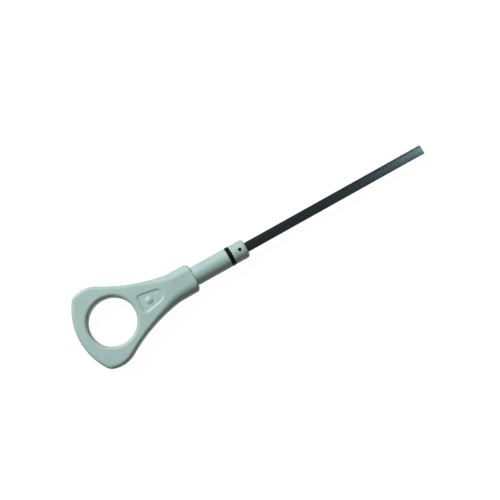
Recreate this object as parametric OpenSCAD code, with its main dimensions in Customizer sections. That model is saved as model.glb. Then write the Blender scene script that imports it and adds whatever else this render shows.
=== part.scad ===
// Engine oil dipstick: a moulded ring handle whose round shank plugs the guide tube,
// a sealing ring in a groove of the shank, a flat steel blade and the pin that holds it.
// Millimetres. The origin is on the shank axis in the plane of the seating shoulder,
// +X runs along the blade to its tip and +Z stands on the flat of the handle.

/* [Handle outline] */
// Length of the handle from its blunt end to the seating shoulder
handle_len = 72.8; // [60:0.1:95]
// Radius of the blunt outer end
end_r = 38.5; // [32:0.5:60]
// Radius of the corners beside the blunt end
corner_r = 5.6; // [3:0.1:8]
// Radius of the two lobes beside the finger hole
lobe_r = 16.2; // [14:0.1:20]
// Distance of the lobe centres from the blunt end
lobe_x = 14.3; // [12:0.1:20]
// Distance of the lobe centres from the middle line
lobe_y = 7.9; // [6:0.1:10]
// Radius of the hollow flanks
flank_r = 90; // [70:1:120]
// Radius where the flanks run into the collar
neck_r = 32; // [20:1:45]
// Length of the straight sides of the collar
collar_len = 11; // [6:0.5:16]
// Width of the collar
collar_w = 17.4; // [15:0.1:22]

/* [Handle section] */
// Thickness at the seating shoulder
collar_t = 12.4; // [12:0.1:16]
// Thickness at the blunt end
end_t = 7.4; // [6:0.1:10]
// Rounding of the edges of the plate
edge_r = 2; // [1:0.1:3]
// Rounding of the long edges of the collar
collar_edge_r = 5.6; // [3:0.1:6]
// Length over which the two roundings run into each other
blend_len = 30; // [15:1:40]
// Rounding of the end of the collar
collar_end_r = 3; // [2:0.1:4]
// Radius of the flat shoulder round the shank
shoulder_r = 6.85; // [6:0.05:8]

/* [Finger hole] */
// Radius of the finger hole
hole_r = 13.9; // [11:0.1:15]
// Distance of the centre of the hole from the blunt end
hole_x = 20.9; // [18:0.1:26]

/* [Recess] */
// Distance of the deep side of the recess from the shoulder
recess_x = 33.8; // [28:0.1:36]
// Length of the recess
recess_len = 13.9; // [8:0.1:18]
// Height of the recess beside the finger hole
recess_h = 11.4; // [8:0.1:14]
// Height of the recess beside the collar
recess_neck_h = 6.2; // [4:0.1:9]
// Corner radius of the recess
recess_r = 2.6; // [1:0.1:3]
// Depth of the recess
recess_t = 0.6; // [0.3:0.05:1.2]
// Distance of the dome from the deep side of the recess
dome_x = 5.6; // [4:0.1:8]
// Diameter of the dome at the floor of the recess
dome_d = 4.6; // [3:0.1:6]
// Height of the dome above the floor of the recess
dome_t = 0.75; // [0.4:0.05:1.2]

/* [Shank] */
// Diameter of the shank
shank_d = 11.4; // [10:0.1:12]
// Length of the shank past the shoulder
shank_len = 34.3; // [28:0.1:45]
// Rounding of the end of the shank
shank_end_r = 1.4; // [0.8:0.1:2]

/* [Sealing ring] */
// Section of the ring
ring_d = 2; // [1.6:0.1:2.2]
// How far the ring stands proud of the shank
ring_proud = 0.2; // [0.1:0.05:0.25]
// Distance of the ring from the end of the shank
ring_x = 10.4; // [8:0.1:14]
// Width of the groove
groove_w = 2.6; // [2.4:0.1:3.2]

/* [Blade] */
// Width of the blade
blade_w = 5.9; // [5:0.1:6.4]
// Thickness of the blade
blade_t = 1.2; // [0.8:0.05:1.6]
// Length of the blade past the shank
blade_len = 122.6; // [90:0.1:300]
// Length of the tang inside the shank
tang_len = 26; // [20:0.5:32]
// Corner radius at the tip
tip_r = 0.4; // [0.2:0.05:1]

/* [Retaining pin] */
// Diameter of the pin
pin_d = 2; // [1.5:0.1:2.4]
// Distance of the pin from the end of the shank
pin_x = 4.1; // [3:0.1:6]
// How far the ends of the pin lie below the shank
pin_sunk = 0.5; // [0.2:0.1:1]

/* [Hidden] */
$fn = 96;
// clearance between the pieces, overrun of every cut, angle between the points of an arc
gap = 0.03;
over = 1;
arc_step = 5;
edge_steps = 6;

// half the thickness at the shoulder, and the lean of the two flats towards the blunt end
half_t = collar_t / 2;
taper = atan((collar_t - end_t) / 2 / handle_len);
wide = 2 * handle_len;

// centres of the arcs of the outline, each tangent to the next
function turn(v) = [-v[1], v[0]];
function meet(a, ra, b, rb) =
    let (d = norm(b - a), e = (b - a) / d, k = (ra * ra - rb * rb + d * d) / (2 * d))
    a + e * k + turn(e) * sqrt(ra * ra - k * k);
function flip(v) = [v[0], -v[1]];
function backwards(p) = [for (i = [len(p) - 1:-1:0]) p[i]];
function angle_of(v) = let (a = atan2(v[1], v[0])) a < 0 ? a + 360 : a;

end_c = [end_r - handle_len, 0];
lobe_c = [lobe_x - handle_len, lobe_y];
neck_c = [-collar_len, collar_w / 2 + neck_r];
corner_c = meet(lobe_c, lobe_r - corner_r, end_c, end_r - corner_r);
flank_c = meet(lobe_c, flank_r + lobe_r, neck_c, flank_r - neck_r);

// angles at which the arcs meet
a_end = angle_of(corner_c - end_c);
a_corner = angle_of(corner_c - lobe_c);
a_lobe = angle_of(flank_c - lobe_c);
a_flank = angle_of(neck_c - flank_c);

// points of an arc, each with the direction that leads out of the handle there;
// a hollow arc has its centre outside, and the last point is left to the next arc
function arc(c, r, from, to, hollow, step = arc_step) =
    let (n = ceil(abs(to - from) / step))
    [for (i = [0:n - 1]) let (a = from + (to - from) * i / n, d = [cos(a), sin(a)])
        [c + r * d, hollow ? -d : d]];

// one side of the outline, from the blunt end to just past the shoulder
side = concat(
    arc(end_c, end_r, 180, a_end, false, arc_step / 2),
    arc(corner_c, corner_r, a_end, a_corner, false, arc_step * 1.4),
    arc(lobe_c, lobe_r, a_corner, a_lobe, false),
    arc(flank_c, flank_r, a_lobe + 180, a_flank, true, arc_step / 3),
    arc(neck_c, neck_r, a_flank, 270, true, arc_step / 2),
    [for (i = [0:3]) [[-collar_len + (collar_len + over) * i / 3, collar_w / 2], [0, 1]]]);

// rounding of the edge at a point of the outline, and half the thickness there
function ease(t) = let (s = min(1, max(0, t))) s * s * (3 - 2 * s);
function edge_at(x) = edge_r + (collar_edge_r - edge_r) * ease((x + collar_len / 2 + blend_len) / blend_len);
function half_at(x) = half_t + x * tan(taper);

// a loop of points round the handle: one side, across the end of the collar, back on the other
function across(p, q, n) = [for (i = [1:n - 1]) p + (q - p) * i / n];
function mirror_y(p) = [p[0], -p[1], p[2]];
function loop(half) = let (p = half[len(half) - 1])
    concat(half, across(p, mirror_y(p), 4), [for (q = backwards(half)) if (q[1] > 0) mirror_y(q)]);

// one side of the loop at the angle a of the outer rounding, and of the rim of the finger hole
hole_pos = hole_x - handle_len;
function outer_half(a, up) = [for (q = side)
    let (e = edge_at(q[0][0]), p = q[0] - q[1] * e * (1 - cos(a)))
    [p[0], max(0, p[1]), up * (half_at(p[0]) - e * (1 - sin(a)))]];
rim_in = edge_r * 0.12;
function rim_at(a, up, t) =
    let (r = hole_r - rim_in + edge_r * (1 - cos(a)), x = hole_pos + r * cos(t))
    [x, r * sin(t), up * (half_at(x) - edge_r * (1 - sin(a)))];
function rim(a, up) = let (p = loop(outer_half(90, 1)))
    [for (q = p) rim_at(a, up, atan2(q[1], q[0] - hole_pos))];

// body of the handle: loops up the outer edge, over the upper flat, down the finger hole
// and back under the lower flat; the hole is left a little tight for its bore
module body() {
    up = [for (i = [0:edge_steps]) 90 * i / edge_steps];
    down = backwards(up);
    loops = concat(
        [for (a = up) loop(outer_half(a, 1))], [for (a = down) rim(a, 1)],
        [for (a = up) rim(a, -1)], [for (a = down) loop(outer_half(a, -1))]);
    n = len(loops[0]);
    m = len(loops);
    polyhedron(
        points = [for (l = loops, p = l) p],
        faces = [for (k = [0:m - 1], i = [0:n - 1]) let (j = (i + 1) % n, l = (k + 1) % m)
            each [[k * n + i, l * n + j, l * n + i], [k * n + i, k * n + j, l * n + j]]],
        convexity = 8);
}

// children stand on the upper flat of the handle
module on_flat(x)
    rotate([0, -taper, 0]) translate([x / cos(taper), 0, half_t * cos(taper)]) children();

module finger_hole()
    translate([hole_pos, 0, 0]) cylinder(h = 2 * collar_t, r = hole_r, center = true);

// shallow recess with four round corners, narrower towards the collar
recess_mid = recess_r * tan(atan((recess_h - recess_neck_h) / 2 / recess_len) / 2);
recess_corners = [
    [recess_r, recess_h / 2 - recess_r],
    [recess_len - recess_r, recess_neck_h / 2 - recess_r + recess_mid]];
module recess() {
    c = concat(recess_corners, backwards([for (p = recess_corners) flip(p)]));
    n = len(c);
    edges = [for (i = [0:n - 1]) let (d = c[(i + 1) % n] - c[i]) turn(d / norm(d)) * recess_r];
    translate([0, 0, -recess_t]) linear_extrude(recess_t + over) {
        polygon([for (i = [0:n - 1], k = [0, 1]) c[i] + edges[(i + n - 1 + k) % n]]);
        for (p = c) translate(p) circle(recess_r);
    }
}
// low dome in the middle of the recess
dome_r = (dome_d * dome_d / 4 + dome_t * dome_t) / (2 * dome_t);
module dome()
    translate([dome_x, 0, dome_t - recess_t - dome_r]) sphere(dome_r);

// ring that rounds the end of the collar, leaving a flat shoulder
end_round_y = collar_w / 2 - collar_end_r * 0.93;
end_round_x = -sqrt(collar_end_r * collar_end_r - pow(shoulder_r - end_round_y, 2));
module collar_end()
    rotate([0, 90, 0]) rotate_extrude() difference() {
        translate([end_round_y, end_round_x]) square([collar_w, over - end_round_x]);
        translate([end_round_y, end_round_x]) circle(collar_end_r);
        square([shoulder_r, wide], center = true);
    }

// round shank with the groove of the sealing ring and a rounded end
groove_r = shank_d / 2 + ring_proud - ring_d - gap;
ring_pos = shank_len - ring_x;
module shank()
    rotate([0, 90, 0]) rotate_extrude() {
        back = -collar_len / 2;
        r = shank_d / 2;
        e = shank_end_r;
        difference() {
            union() {
                translate([0, back]) square([r, shank_len - e - back]);
                translate([0, back]) square([r - e, shank_len - back]);
                translate([r - e, shank_len - e]) circle(e);
            }
            translate([groove_r, ring_pos - groove_w / 2]) square([ring_d + over, groove_w]);
        }
    }

// socket of the blade and hole of the pin
tang_end = shank_len - tang_len;
pin_pos = shank_len - pin_x;
module socket()
    translate([tang_end - gap, -blade_w / 2 - gap, -blade_t / 2 - gap])
        cube([tang_len + over, blade_w + 2 * gap, blade_t + 2 * gap]);
module pin_hole(length)
    translate([pin_pos, 0, 0]) cylinder(h = length, r = pin_d / 2 + gap, center = true);

module handle()
    color([0.72, 0.82, 0.79]) difference() {
        union() {
            difference() {
                body();
                translate([0, -wide / 2, -wide / 2]) cube(wide);
                collar_end();
                finger_hole();
                on_flat(-recess_x) recess();
            }
            on_flat(-recess_x) dome();
            shank();
        }
        socket();
        pin_hole(shank_d + over);
    }

module o_ring()
    color([0.08, 0.09, 0.08]) translate([ring_pos, 0, 0]) rotate([0, 90, 0])
        rotate_extrude() translate([groove_r + gap + ring_d / 2, 0]) circle(ring_d / 2);

module blade()
    color([0.3, 0.33, 0.33]) difference() {
        translate([0, 0, -blade_t / 2]) linear_extrude(blade_t) {
            tip = shank_len + blade_len;
            translate([tang_end, -blade_w / 2]) square([tip - tip_r - tang_end, blade_w]);
            translate([tang_end, tip_r - blade_w / 2]) square([tip - tang_end, blade_w - 2 * tip_r]);
            for (s = [-1, 1]) translate([tip - tip_r, s * (blade_w / 2 - tip_r)]) circle(tip_r);
        }
        pin_hole(blade_t + over);
    }

module retaining_pin() {
    length = shank_d - 2 * pin_sunk;
    color([0.2, 0.22, 0.22]) translate([pin_pos, 0, -length / 2]) cylinder(h = length, r = pin_d / 2);
}

handle();
o_ring();
blade();
retaining_pin();
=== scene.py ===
import numpy as np
import bmesh
import bpy
from mathutils import Matrix, Vector


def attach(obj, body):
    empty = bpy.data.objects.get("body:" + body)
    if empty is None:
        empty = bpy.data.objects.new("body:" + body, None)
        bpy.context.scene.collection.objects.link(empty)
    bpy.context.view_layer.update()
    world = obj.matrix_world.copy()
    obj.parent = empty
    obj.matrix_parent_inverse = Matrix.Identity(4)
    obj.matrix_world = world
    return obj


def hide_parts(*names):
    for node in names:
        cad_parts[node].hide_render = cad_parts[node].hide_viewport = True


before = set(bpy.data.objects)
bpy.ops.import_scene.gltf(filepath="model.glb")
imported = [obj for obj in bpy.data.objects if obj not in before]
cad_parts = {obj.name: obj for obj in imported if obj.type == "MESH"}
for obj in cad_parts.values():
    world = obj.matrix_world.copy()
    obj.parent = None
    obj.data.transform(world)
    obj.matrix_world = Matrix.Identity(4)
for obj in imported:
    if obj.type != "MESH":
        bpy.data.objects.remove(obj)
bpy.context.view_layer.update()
mm = 0.001

# every length in millimetres, origin on the shank axis at the shoulder, +X to the blade tip
handle = {
    "length": 72.8, "endRadius": 38.5, "cornerRadius": 5.6,
    "lobeRadius": 16.2, "lobeX": -58.5, "lobeY": 7.9,
    "flankRadius": 90.0, "neckRadius": 32.0,
    "collarLength": 11.0, "collarWidth": 17.4, "collarThickness": 12.4, "endThickness": 7.4,
    "edge": 2.0, "collarEdge": 5.6, "blendLength": 30.0,
    "endRound": 3.0, "shoulderRadius": 6.85, "endSoft": 0.22,
    "holeX": -51.9, "holeRadius": 13.9, "rimRound": 2.0,
}
recess = {
    "x": -33.8, "length": 13.9, "height": 11.4, "neckHeight": 6.2, "corner": 2.6,
    "depth": 0.6, "softness": 1.5, "domeX": 5.6, "domeDiameter": 4.6, "domeHeight": 0.75, "domeFoot": 0.3,
}


def ease(t):
    # s = t clamped to 0..1, then 3s^2 - 2s^3
    s = np.clip(t, 0, 1)
    return s * s * (3 - 2 * s)


def meetOfCircles(a, ra, b, rb):
    # the crossing of two circles on the left of the line from a to b
    d = np.linalg.norm(b - a)
    e = (b - a) / d
    k = (ra ** 2 - rb ** 2 + d ** 2) / (2 * d)
    return a + e * k + np.array([-e[1], e[0]]) * np.sqrt(ra ** 2 - k ** 2)


def angleOf(v):
    # direction of v in degrees, 0..360
    return np.degrees(np.arctan2(v[1], v[0])) % 360


def arcPoints(centre, radius, start, end, count, hollow=False):
    # p = c + r(cos a, sin a); the outward direction turns round on a hollow arc
    a = np.radians(np.linspace(start, end, count, endpoint=False))
    d = np.column_stack([np.cos(a), np.sin(a)])
    return np.column_stack([centre + radius * d, -d if hollow else d])


def sideOutline():
    # tangent arcs from the blunt end over corner, lobe, flank and neck to the shoulder
    h = handle
    end = np.array([h["endRadius"] - h["length"], 0.0])
    lobe = np.array([h["lobeX"], h["lobeY"]])
    neck = np.array([-h["collarLength"], h["collarWidth"] / 2 + h["neckRadius"]])
    corner = meetOfCircles(lobe, h["lobeRadius"] - h["cornerRadius"], end, h["endRadius"] - h["cornerRadius"])
    flank = meetOfCircles(lobe, h["flankRadius"] + h["lobeRadius"], neck, h["flankRadius"] - h["neckRadius"])
    aEnd, aCorner = angleOf(corner - end), angleOf(corner - lobe)
    aLobe, aFlank = angleOf(flank - lobe), angleOf(neck - flank)
    side = [
        arcPoints(end, h["endRadius"], 180, aEnd, 30),
        arcPoints(corner, h["cornerRadius"], aEnd, aCorner, 12),
        arcPoints(lobe, h["lobeRadius"], aCorner, aLobe, 22),
        arcPoints(flank, h["flankRadius"], aLobe + 180, aFlank, 46, True),
        arcPoints(neck, h["neckRadius"], aFlank, 270, 14, True),
    ]
    x = -h["collarLength"] + (h["collarLength"] - h["endSoft"]) * np.concatenate(
        [np.linspace(0, 0.7, 8, endpoint=False), np.linspace(0.7, 1, 12)])
    k = np.radians(np.linspace(0, 90, 5))[1:]
    x = np.concatenate([x, -h["endSoft"] * (1 - np.sin(k))])
    straight = np.column_stack([x, np.full_like(x, h["collarWidth"] / 2), 0 * x, 1 + 0 * x])
    return np.concatenate(side + [straight])


def halfThickness(x):
    # the two flats lean towards each other from the collar to the blunt end
    h = handle
    return h["collarThickness"] / 2 + x * (h["collarThickness"] - h["endThickness"]) / 2 / h["length"]


def softEnd(x):
    # how far the section is drawn in near the shoulder: quarter round of the radius endSoft
    r = handle["endSoft"]
    d = np.clip(r + x, 0, r)
    return r - np.sqrt(r * r - d * d)


def recessRelief(x, y):
    # rounded trapezoid by its distance field, eased down to the floor, with a low dome
    r = recess
    u = x - r["x"] - r["length"] / 2
    slope = (r["height"] - r["neckHeight"]) / 2 / r["length"]
    halfHeight = (r["height"] + r["neckHeight"]) / 4 - slope * u
    dx = np.abs(u) - (r["length"] / 2 - r["corner"])
    dy = (np.abs(y) - halfHeight) / np.sqrt(1 + slope ** 2) + r["corner"]
    outside = np.hypot(np.maximum(dx, 0), np.maximum(dy, 0))
    distance = outside + np.minimum(np.maximum(dx, dy), 0) - r["corner"]
    floor = -r["depth"] * ease(0.5 - distance / r["softness"])
    half, rise, foot = r["domeDiameter"] / 2, r["domeHeight"], r["domeFoot"]
    ball = (half ** 2 + rise ** 2) / (2 * rise)
    q = np.minimum(np.hypot(x - r["x"] - r["domeX"], y), ball)
    cap = np.sqrt(ball ** 2 - q ** 2) - (ball - rise)
    dome = np.where(cap > foot, cap, np.where(cap < -foot, 0, (cap + foot) ** 2 / (4 * foot)))
    return floor + dome


def closeRound(half, across):
    # one side, the line across the end of the collar, and the other side back
    p, q = half[-1], half[-1] * [1, -1, 1]
    t = np.linspace(0, 1, across + 1)[1:-1, None]
    return np.concatenate([half, p + (q - p) * t, (half * [1, -1, 1])[::-1][:-1]])


def roundCollarEnd(p):
    # near the shoulder the distance from the axis stays inside a quarter round
    h = handle
    cy = h["collarWidth"] / 2 - h["endRound"] * 0.93
    cx = -np.sqrt(h["endRound"] ** 2 - (h["shoulderRadius"] - cy) ** 2)
    d = np.clip(p[..., 0] - cx, 0, h["endRound"])
    limit = np.where(p[..., 0] > cx, cy + np.sqrt(h["endRound"] ** 2 - d ** 2), 1e3)
    rho = np.maximum(np.hypot(p[..., 1], p[..., 2]), 1e-6)
    k = np.minimum(1, limit / rho)
    p[..., 1] *= k
    p[..., 2] *= k
    return p


def handleSurface():
    # grid: round the outline in one way, and in the other up the outer edge, over the flat,
    # down the finger hole and back under; the upper flat is dense for the recess
    h = handle
    side = sideOutline()
    x, y, nx, ny = side.T
    blendStart = h["collarLength"] / 2 + h["blendLength"]
    edge = h["edge"] + (h["collarEdge"] - h["edge"]) * ease((x + blendStart) / h["blendLength"])
    drawn = softEnd(x)
    columns = []

    def outerColumn(a, up):
        e = edge - drawn * 0.5
        inset = drawn + e * (1 - np.cos(a))
        px, py = x - nx * inset, np.maximum(y - ny * inset, 0)
        pz = up * (halfThickness(px) - drawn - e * (1 - np.sin(a)))
        return closeRound(np.column_stack([px, py, pz]), 90)

    def rimColumn(a, up, angles):
        r = h["holeRadius"] + h["rimRound"] * (1 - np.cos(a))
        px = h["holeX"] + r * np.cos(angles)
        return np.column_stack([px, r * np.sin(angles), up * (halfThickness(px) - h["rimRound"] * (1 - np.sin(a)))])

    def flatColumns(outer, inner, count, up):
        t = np.linspace(0, 1, count + 1)[1:-1]
        xy = outer[:, :2] * (1 - t)[:, None, None] + inner[:, :2] * t[:, None, None]
        z = halfThickness(xy[..., 0]) - softEnd(xy[..., 0])
        if up > 0:
            z = z + recessRelief(xy[..., 0], xy[..., 1])
        return list(np.concatenate([xy, up * z[..., None]], axis=2))

    turn = np.radians(np.linspace(0, 90, 11))
    top = outerColumn(turn[-1], 1)
    angles = np.arctan2(top[:, 1], top[:, 0] - h["holeX"])
    columns += [outerColumn(a, 1) for a in turn]
    rim = rimColumn(turn[-1], 1, angles)
    columns += flatColumns(top, rim, 150, 1)
    columns += [rimColumn(a, 1, angles) for a in turn[::-1]]
    columns += [rimColumn(a, -1, angles) for a in turn]
    low = outerColumn(turn[-1], -1)
    columns += flatColumns(rimColumn(turn[-1], -1, angles), low, 14, -1)
    columns += [outerColumn(a, -1) for a in turn[::-1]]
    grid = np.stack(columns, axis=1)
    return roundCollarEnd(grid)


def turned(profile, count):
    # profile of (x, radius) points carried round the X axis
    a = np.linspace(0, 2 * np.pi, count, endpoint=False)[:, None]
    x, r = profile[:, 0][None], profile[:, 1][None]
    return np.stack([x + 0 * a, r * np.cos(a), r * np.sin(a)], axis=2)


def roundCorner(cx, cr, radius, start, end, count):
    # quarter of a circle in the (x, radius) plane
    a = np.radians(np.linspace(start, end, count))
    return np.column_stack([cx + radius * np.cos(a), cr + radius * np.sin(a)])


def gridFaces(rows, columns, closeRows, closeColumns, offset=0):
    # every cell of the grid as one quad
    i = np.arange(rows if closeRows else rows - 1)[:, None]
    j = np.arange(columns if closeColumns else columns - 1)[None]
    i2, j2 = (i + 1) % rows, (j + 1) % columns
    quads = np.stack([i * columns + j, i2 * columns + j, i2 * columns + j2, i * columns + j2], axis=2)
    return quads.reshape(-1, 4) + offset


def makePiece(name, points, faces, material, smooth=True):
    # mesh of equal-sized faces, poles welded so that every piece is closed
    mesh = bpy.data.meshes.new(name)
    points = np.ascontiguousarray(points.reshape(-1, 3) * mm, dtype=np.float32)
    mesh.vertices.add(len(points))
    mesh.vertices.foreach_set("co", points.ravel())
    loops = np.ascontiguousarray(faces, dtype=np.int32)
    mesh.loops.add(loops.size)
    mesh.loops.foreach_set("vertex_index", loops.ravel())
    mesh.polygons.add(len(loops))
    mesh.polygons.foreach_set("loop_start", np.arange(len(loops), dtype=np.int32) * loops.shape[1])
    mesh.update(calc_edges=True)
    mesh.validate()
    weld = bmesh.new()
    weld.from_mesh(mesh)
    bmesh.ops.remove_doubles(weld, verts=weld.verts, dist=1e-7)
    weld.to_mesh(mesh)
    weld.free()
    mesh.polygons.foreach_set("use_smooth", np.full(len(mesh.polygons), smooth))
    piece = bpy.data.objects.new(name, mesh)
    bpy.context.scene.collection.objects.link(piece)
    piece.data.materials.append(material)
    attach(piece, "root")
    print("made", name, len(mesh.polygons), "faces")
    return piece


# materials
plasticLook = {
    "colour": (0.452, 0.625, 0.595, 1), "shade": (0.402, 0.560, 0.528, 1),
    "roughness": 0.50, "grain": 0.10,
}


def newMaterial(name):
    # principled shader fed by object coordinates
    material = bpy.data.materials.new(name)
    material.use_nodes = True
    nodes, links = material.node_tree.nodes, material.node_tree.links
    shader = nodes["Principled BSDF"]
    place = nodes.new("ShaderNodeTexCoord")
    return material, nodes, links, shader, place


def plasticMaterial():
    # two close tones mixed by slow noise, faint moulding grain in roughness and bump
    look = plasticLook
    material, nodes, links, shader, place = newMaterial("handlePlastic")
    slow = nodes.new("ShaderNodeTexNoise")
    slow.inputs["Scale"].default_value = 90
    slow.inputs["Detail"].default_value = 4
    tone = nodes.new("ShaderNodeMix")
    tone.data_type = "RGBA"
    tone.inputs["A"].default_value = look["shade"]
    tone.inputs["B"].default_value = look["colour"]
    band = nodes.new("ShaderNodeMapRange")
    band.inputs["From Min"].default_value = 0.3
    band.inputs["From Max"].default_value = 0.6
    fine = nodes.new("ShaderNodeTexNoise")
    fine.inputs["Scale"].default_value = 2600
    fine.inputs["Detail"].default_value = 3
    rough = nodes.new("ShaderNodeMapRange")
    rough.inputs["To Min"].default_value = look["roughness"] - 0.06
    rough.inputs["To Max"].default_value = look["roughness"] + 0.08
    bump = nodes.new("ShaderNodeBump")
    bump.inputs["Strength"].default_value = look["grain"]
    bump.inputs["Distance"].default_value = 0.00006
    for noise in (slow, fine):
        links.new(place.outputs["Object"], noise.inputs["Vector"])
    links.new(slow.outputs["Fac"], band.inputs["Value"])
    links.new(band.outputs["Result"], tone.inputs["Factor"])
    links.new(tone.outputs["Result"], shader.inputs["Base Color"])
    links.new(fine.outputs["Fac"], rough.inputs["Value"])
    links.new(rough.outputs["Result"], shader.inputs["Roughness"])
    links.new(fine.outputs["Fac"], bump.inputs["Height"])
    links.new(bump.outputs["Normal"], shader.inputs["Normal"])
    shader.inputs["IOR"].default_value = 1.5
    return material


rubberLook = {
    "dark": (0.002, 0.003, 0.0025, 1), "light": (0.005, 0.007, 0.006, 1), "roughness": 0.75, "specular": 0.18,
}


def rubberMaterial():
    # near black, a little lighter where the fine noise peaks
    look = rubberLook
    material, nodes, links, shader, place = newMaterial("sealRubber")
    fine = nodes.new("ShaderNodeTexNoise")
    fine.inputs["Scale"].default_value = 1800
    fine.inputs["Detail"].default_value = 4
    ramp = nodes.new("ShaderNodeMix")
    ramp.data_type = "RGBA"
    ramp.inputs["A"].default_value = look["dark"]
    ramp.inputs["B"].default_value = look["light"]
    bump = nodes.new("ShaderNodeBump")
    bump.inputs["Strength"].default_value = 0.25
    bump.inputs["Distance"].default_value = 0.00004
    links.new(place.outputs["Object"], fine.inputs["Vector"])
    links.new(fine.outputs["Fac"], ramp.inputs["Factor"])
    links.new(ramp.outputs["Result"], shader.inputs["Base Color"])
    links.new(fine.outputs["Fac"], bump.inputs["Height"])
    links.new(bump.outputs["Normal"], shader.inputs["Normal"])
    shader.inputs["Roughness"].default_value = look["roughness"]
    shader.inputs["Specular IOR Level"].default_value = look["specular"]
    return material


# blade tones dark and greenish: painted reflection of dark surroundings in the steel, varied at random by the slow
# noise
bladeToneWithPaintedReflection = {"dark": (0.17, 0.215, 0.200, 1), "light": (0.25, 0.32, 0.345, 1), "roughness": 0.24}
# pin tones near black: painted shade of the hole round the pin end, in place of the steel's own grey
pinToneWithPaintedShade = {"dark": (0.020, 0.024, 0.022, 1), "light": (0.035, 0.040, 0.036, 1), "roughness": 0.45}


def steelMaterial(name, look):
    # rolled strip: noise drawn out along X for the grain, a slower one for oil film and tone; the two tones it mixes
    # are painted reflection on the blade and painted shade on the pin
    material, nodes, links, shader, place = newMaterial(name)
    stretch = nodes.new("ShaderNodeMapping")
    stretch.inputs["Scale"].default_value = (12, 900, 900)
    grain = nodes.new("ShaderNodeTexNoise")
    grain.inputs["Scale"].default_value = 1.0
    grain.inputs["Detail"].default_value = 2
    slow = nodes.new("ShaderNodeTexNoise")
    slow.inputs["Scale"].default_value = 60
    slow.inputs["Detail"].default_value = 5
    tone = nodes.new("ShaderNodeMix")
    tone.data_type = "RGBA"
    tone.inputs["A"].default_value = look["dark"]
    tone.inputs["B"].default_value = look["light"]
    rough = nodes.new("ShaderNodeMapRange")
    rough.inputs["To Min"].default_value = look["roughness"] - 0.03
    rough.inputs["To Max"].default_value = look["roughness"] + 0.03
    bump = nodes.new("ShaderNodeBump")
    bump.inputs["Strength"].default_value = 0.05
    bump.inputs["Distance"].default_value = 0.000005
    links.new(place.outputs["Object"], stretch.inputs["Vector"])
    links.new(stretch.outputs["Vector"], grain.inputs["Vector"])
    links.new(place.outputs["Object"], slow.inputs["Vector"])
    links.new(slow.outputs["Fac"], tone.inputs["Factor"])
    links.new(tone.outputs["Result"], shader.inputs["Base Color"])
    links.new(grain.outputs["Fac"], rough.inputs["Value"])
    links.new(rough.outputs["Result"], shader.inputs["Roughness"])
    links.new(grain.outputs["Fac"], bump.inputs["Height"])
    links.new(bump.outputs["Normal"], shader.inputs["Normal"])
    shader.inputs["Metallic"].default_value = 1.0
    return material


plastic = plasticMaterial()
rubber = rubberMaterial()
steel = steelMaterial("bladeSteelPaintedReflection", bladeToneWithPaintedReflection)
pinSteelPaintedShade = steelMaterial("pinSteelPaintedShade", pinToneWithPaintedShade)

# handle
print("handle surface")
grid = handleSurface()
faces = gridFaces(grid.shape[0], grid.shape[1], True, True)[:, ::-1]
handlePiece = makePiece("handleMoulding", grid, faces, plastic)


shank = {
    "radius": 5.7, "length": 34.3, "endRound": 1.4, "grooveX": 23.9, "grooveWidth": 2.6,
    "grooveRadius": 3.87, "lipRound": 0.12, "pinX": 30.2, "pinRadius": 1.03,
}


def shankProfile():
    # half section of the shank as (x, radius), with the groove and the rounded end
    s = shank
    lip, half = s["lipRound"], s["grooveWidth"] / 2
    g0, g1 = s["grooveX"] - half, s["grooveX"] + half
    back = -5.0
    parts = [
        np.array([[back, 0.0], [back, s["radius"]]]),
        np.column_stack([np.linspace(back + 1, g0 - lip, 30), np.full(30, s["radius"])]),
        roundCorner(g0 - lip, s["radius"] - lip, lip, 80, 0, 5),
        np.array([[g0, s["grooveRadius"] + 0.2], [g0 + 0.2, s["grooveRadius"]], [g1 - 0.2, s["grooveRadius"]],
                  [g1, s["grooveRadius"] + 0.2]]),
        roundCorner(g1 + lip, s["radius"] - lip, lip, 180, 90, 5),
        np.column_stack([np.linspace(g1 + lip + 0.3, s["length"] - s["endRound"], 14), np.full(14, s["radius"])]),
        roundCorner(s["length"] - s["endRound"], s["radius"] - s["endRound"], s["endRound"], 82, 0, 12),
        np.array([[s["length"], 3.4], [s["length"], 0.0]]),
    ]
    return np.concatenate(parts)


print("shank")
profile = shankProfile()
grid = turned(profile, 128)
faces = gridFaces(grid.shape[0], grid.shape[1], True, False)
shankPiece = makePiece("handleShank", grid, faces, plastic)


blade = {"width": 5.9, "thickness": 1.2, "back": 8.3, "tip": 156.9, "edge": 0.2, "tipRound": 0.4}


def bladeSurface():
    # round-cornered section carried along X, drawn in to the middle at both ends
    b = blade
    a = np.radians(np.linspace(0, 90, 5)[None] + np.arange(4)[:, None] * 90).ravel()
    sy = np.repeat([1, -1, -1, 1], 5)
    sz = np.repeat([1, 1, -1, -1], 5)

    def section(x, inset):
        y = sy * (b["width"] / 2 - b["edge"] - inset) + b["edge"] * np.cos(a)
        z = sz * (b["thickness"] / 2 - b["edge"]) + b["edge"] * np.sin(a)
        return np.column_stack([np.full_like(y, x), y, z])

    k = np.radians(np.linspace(0, 90, 5))
    drawnIn = b["tipRound"] * (1 - np.cos(k))
    along = b["tip"] - b["tipRound"] + b["tipRound"] * np.sin(k)
    rows = [section(b["back"], 0) * [1, 0, 0]]
    rows += [section(x, 0) for x in np.linspace(b["back"], b["tip"] - b["tipRound"], 60, endpoint=False)]
    rows += [section(x, d) for x, d in zip(along, drawnIn)]
    rows.append(section(b["tip"], 0) * [1, 0, 0])
    return np.stack(rows, axis=0)


# helper mesh that cuts the hole of the pin into the shank
def cutter(name, points, faces):
    mesh = bpy.data.meshes.new(name)
    mesh.from_pydata((points.reshape(-1, 3) * mm).tolist(), [], faces.tolist())
    mesh.update()
    piece = bpy.data.objects.new(name, mesh)
    bpy.context.scene.collection.objects.link(piece)
    return piece


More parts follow.
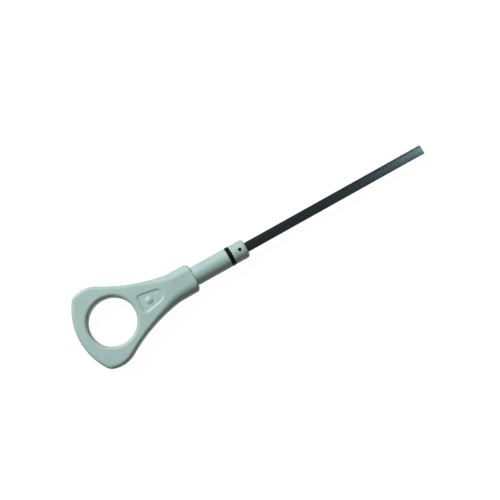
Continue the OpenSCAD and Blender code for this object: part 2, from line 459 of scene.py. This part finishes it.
pinProfile = np.array([[-8.0, 0.0], [-8.0, shank["pinRadius"]], [8.0, shank["pinRadius"]], [8.0, 0.0]])
pinGrid = turned(pinProfile, 40)
pinGrid = np.stack([pinGrid[..., 1] + shank["pinX"], pinGrid[..., 2], pinGrid[..., 0]], axis=2)
pinCutter = cutter("pinCutter", pinGrid, gridFaces(pinGrid.shape[0], pinGrid.shape[1], True, False))
cut = shankPiece.modifiers.new("pinHole", "BOOLEAN")
cut.object, cut.operation, cut.solver = pinCutter, "DIFFERENCE", "EXACT"
bpy.context.view_layer.update()
baked = bpy.data.meshes.new_from_object(shankPiece.evaluated_get(bpy.context.evaluated_depsgraph_get()))
shankPiece.modifiers.clear()
shankPiece.data = baked
bpy.data.objects.remove(pinCutter)
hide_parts("handle")
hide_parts("handle")

# sealing ring
# the seal is drawn flattened in its groove, where the solid has a round section of 2
ring = {"x": 23.9, "width": 2.5, "height": 1.9, "edge": 0.7, "innerRadius": 3.9}
print("sealing ring")
halfWidth, edge = ring["width"] / 2 - ring["edge"], ring["edge"]
low, high = ring["innerRadius"] + edge, ring["innerRadius"] + ring["height"] - edge
ringProfile = np.concatenate([
    roundCorner(ring["x"] + halfWidth, high, edge, 0, 90, 9),
    roundCorner(ring["x"] - halfWidth, high, edge, 90, 180, 9),
    roundCorner(ring["x"] - halfWidth, low, edge, 180, 270, 6),
    roundCorner(ring["x"] + halfWidth, low, edge, 270, 360, 6)])
grid = turned(ringProfile, 128)
faces = gridFaces(grid.shape[0], grid.shape[1], True, True)
ringPiece = makePiece("sealRing", grid, faces, rubber)
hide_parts("o_ring")

# blade of the solid's size; the pin keeps its solid
print("blade")
grid = bladeSurface()
faces = gridFaces(grid.shape[0], grid.shape[1], False, True)[:, ::-1]
bladePiece = makePiece("bladeStrip", grid, faces, steel)
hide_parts("blade")
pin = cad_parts["retaining_pin"]
# the pin gets the near-black tones, painted shade of its hole
pin.data.materials.clear()
pin.data.materials.append(pinSteelPaintedShade)

# floor, lights and camera
studio = {
    "floorZ": -6.3, "floorColour": (0.145, 0.135, 0.11, 1), "backdropGlow": 0.965,
    "cameraPlace": (-15.43, -57.49, 389.01), "focalPixels": 684.1,
    "cameraRight": (0.8653, -0.4994, 0.0433), "cameraUp": (0.4843, 0.8551, 0.185),
    "skyColour": (0.90, 0.95, 1.0, 1), "skyStrength": 0.05,
}
# each lamp: place and size in millimetres, aim point, power, colour
lamps = {
    "key": {"place": (-230, 560, 520), "size": (420, 260), "aim": (0, 0, 0), "power": 6.7, "colour": (1.0, 1.0, 0.99)},
    "card": {"place": (645, 110, 700), "size": (260, 260), "aim": (160, 0, 0), "power": 0.7, "colour": (0.80, 0.95, 1.0)},
    "fill": {"place": (80, -520, 260), "size": (500, 200), "aim": (0, 0, 0), "power": 0.20, "colour": (1.0, 0.84, 0.42)},
}


def makeFloor():
    # pale plane; its white is added for camera, glossy and transmission rays only
    size = 3.0
    z = studio["floorZ"] * mm
    mesh = bpy.data.meshes.new("floor")
    mesh.from_pydata([(-size, -size, z), (size, -size, z), (size, size, z), (-size, size, z)], [], [(0, 1, 2, 3)])
    floor = bpy.data.objects.new("floor", mesh)
    bpy.context.scene.collection.objects.link(floor)
    material = bpy.data.materials.new("paleFloor")
    material.use_nodes = True
    nodes, links = material.node_tree.nodes, material.node_tree.links
    shader = nodes["Principled BSDF"]
    shader.inputs["Base Color"].default_value = studio["floorColour"]
    shader.inputs["Roughness"].default_value = 0.9
    shader.inputs["Specular IOR Level"].default_value = 0.0
    glow = nodes.new("ShaderNodeEmission")
    glow.inputs["Color"].default_value = (1, 1, 1, 1)
    path = nodes.new("ShaderNodeLightPath")
    seen = nodes.new("ShaderNodeMath")
    seen.operation = "MAXIMUM"
    anySeen = nodes.new("ShaderNodeMath")
    anySeen.operation = "MAXIMUM"
    scale = nodes.new("ShaderNodeMath")
    scale.operation = "MULTIPLY"
    scale.inputs[1].default_value = studio["backdropGlow"]
    add = nodes.new("ShaderNodeAddShader")
    links.new(path.outputs["Is Camera Ray"], seen.inputs[0])
    links.new(path.outputs["Is Glossy Ray"], seen.inputs[1])
    links.new(seen.outputs[0], anySeen.inputs[0])
    links.new(path.outputs["Is Transmission Ray"], anySeen.inputs[1])
    links.new(anySeen.outputs[0], scale.inputs[0])
    links.new(scale.outputs[0], glow.inputs["Strength"])
    links.new(shader.outputs[0], add.inputs[0])
    links.new(glow.outputs[0], add.inputs[1])
    links.new(add.outputs[0], nodes["Material Output"].inputs["Surface"])
    floor.data.materials.append(material)


def makeLights():
    # faint world and three area lamps, each turned to its aim point
    world = bpy.data.worlds.new("studio")
    world.use_nodes = True
    background = world.node_tree.nodes["Background"]
    background.inputs["Color"].default_value = studio["skyColour"]
    background.inputs["Strength"].default_value = studio["skyStrength"]
    bpy.context.scene.world = world
    for name, values in lamps.items():
        light = bpy.data.lights.new(name, "AREA")
        light.shape = "RECTANGLE"
        light.size, light.size_y = (v * mm for v in values["size"])
        light.energy = values["power"]
        light.color = values["colour"]
        lamp = bpy.data.objects.new(name, light)
        bpy.context.scene.collection.objects.link(lamp)
        place = Vector(values["place"]) * mm
        lamp.location = place
        lamp.rotation_mode = "QUATERNION"
        lamp.rotation_quaternion = (place - Vector(values["aim"]) * mm).to_track_quat("Z", "Y")


def makeCamera():
    # lens = focalPixels / 500 * 36, turned by its right and up directions
    right, up = Vector(studio["cameraRight"]).normalized(), Vector(studio["cameraUp"])
    back = right.cross(up).normalized()
    up = back.cross(right)
    data = bpy.data.cameras.new("camera")
    data.sensor_width = 36
    data.lens = studio["focalPixels"] / 500 * 36
    data.clip_start, data.clip_end = 0.01, 20
    camera = bpy.data.objects.new("camera", data)
    bpy.context.scene.collection.objects.link(camera)
    turn = Matrix((right, up, back)).transposed().to_4x4()
    camera.matrix_world = Matrix.Translation(Vector(studio["cameraPlace"]) * mm) @ turn
    bpy.context.scene.camera = camera


print("studio")
makeFloor()
makeLights()
makeCamera()
bpy.context.scene.view_settings.view_transform = "Standard"
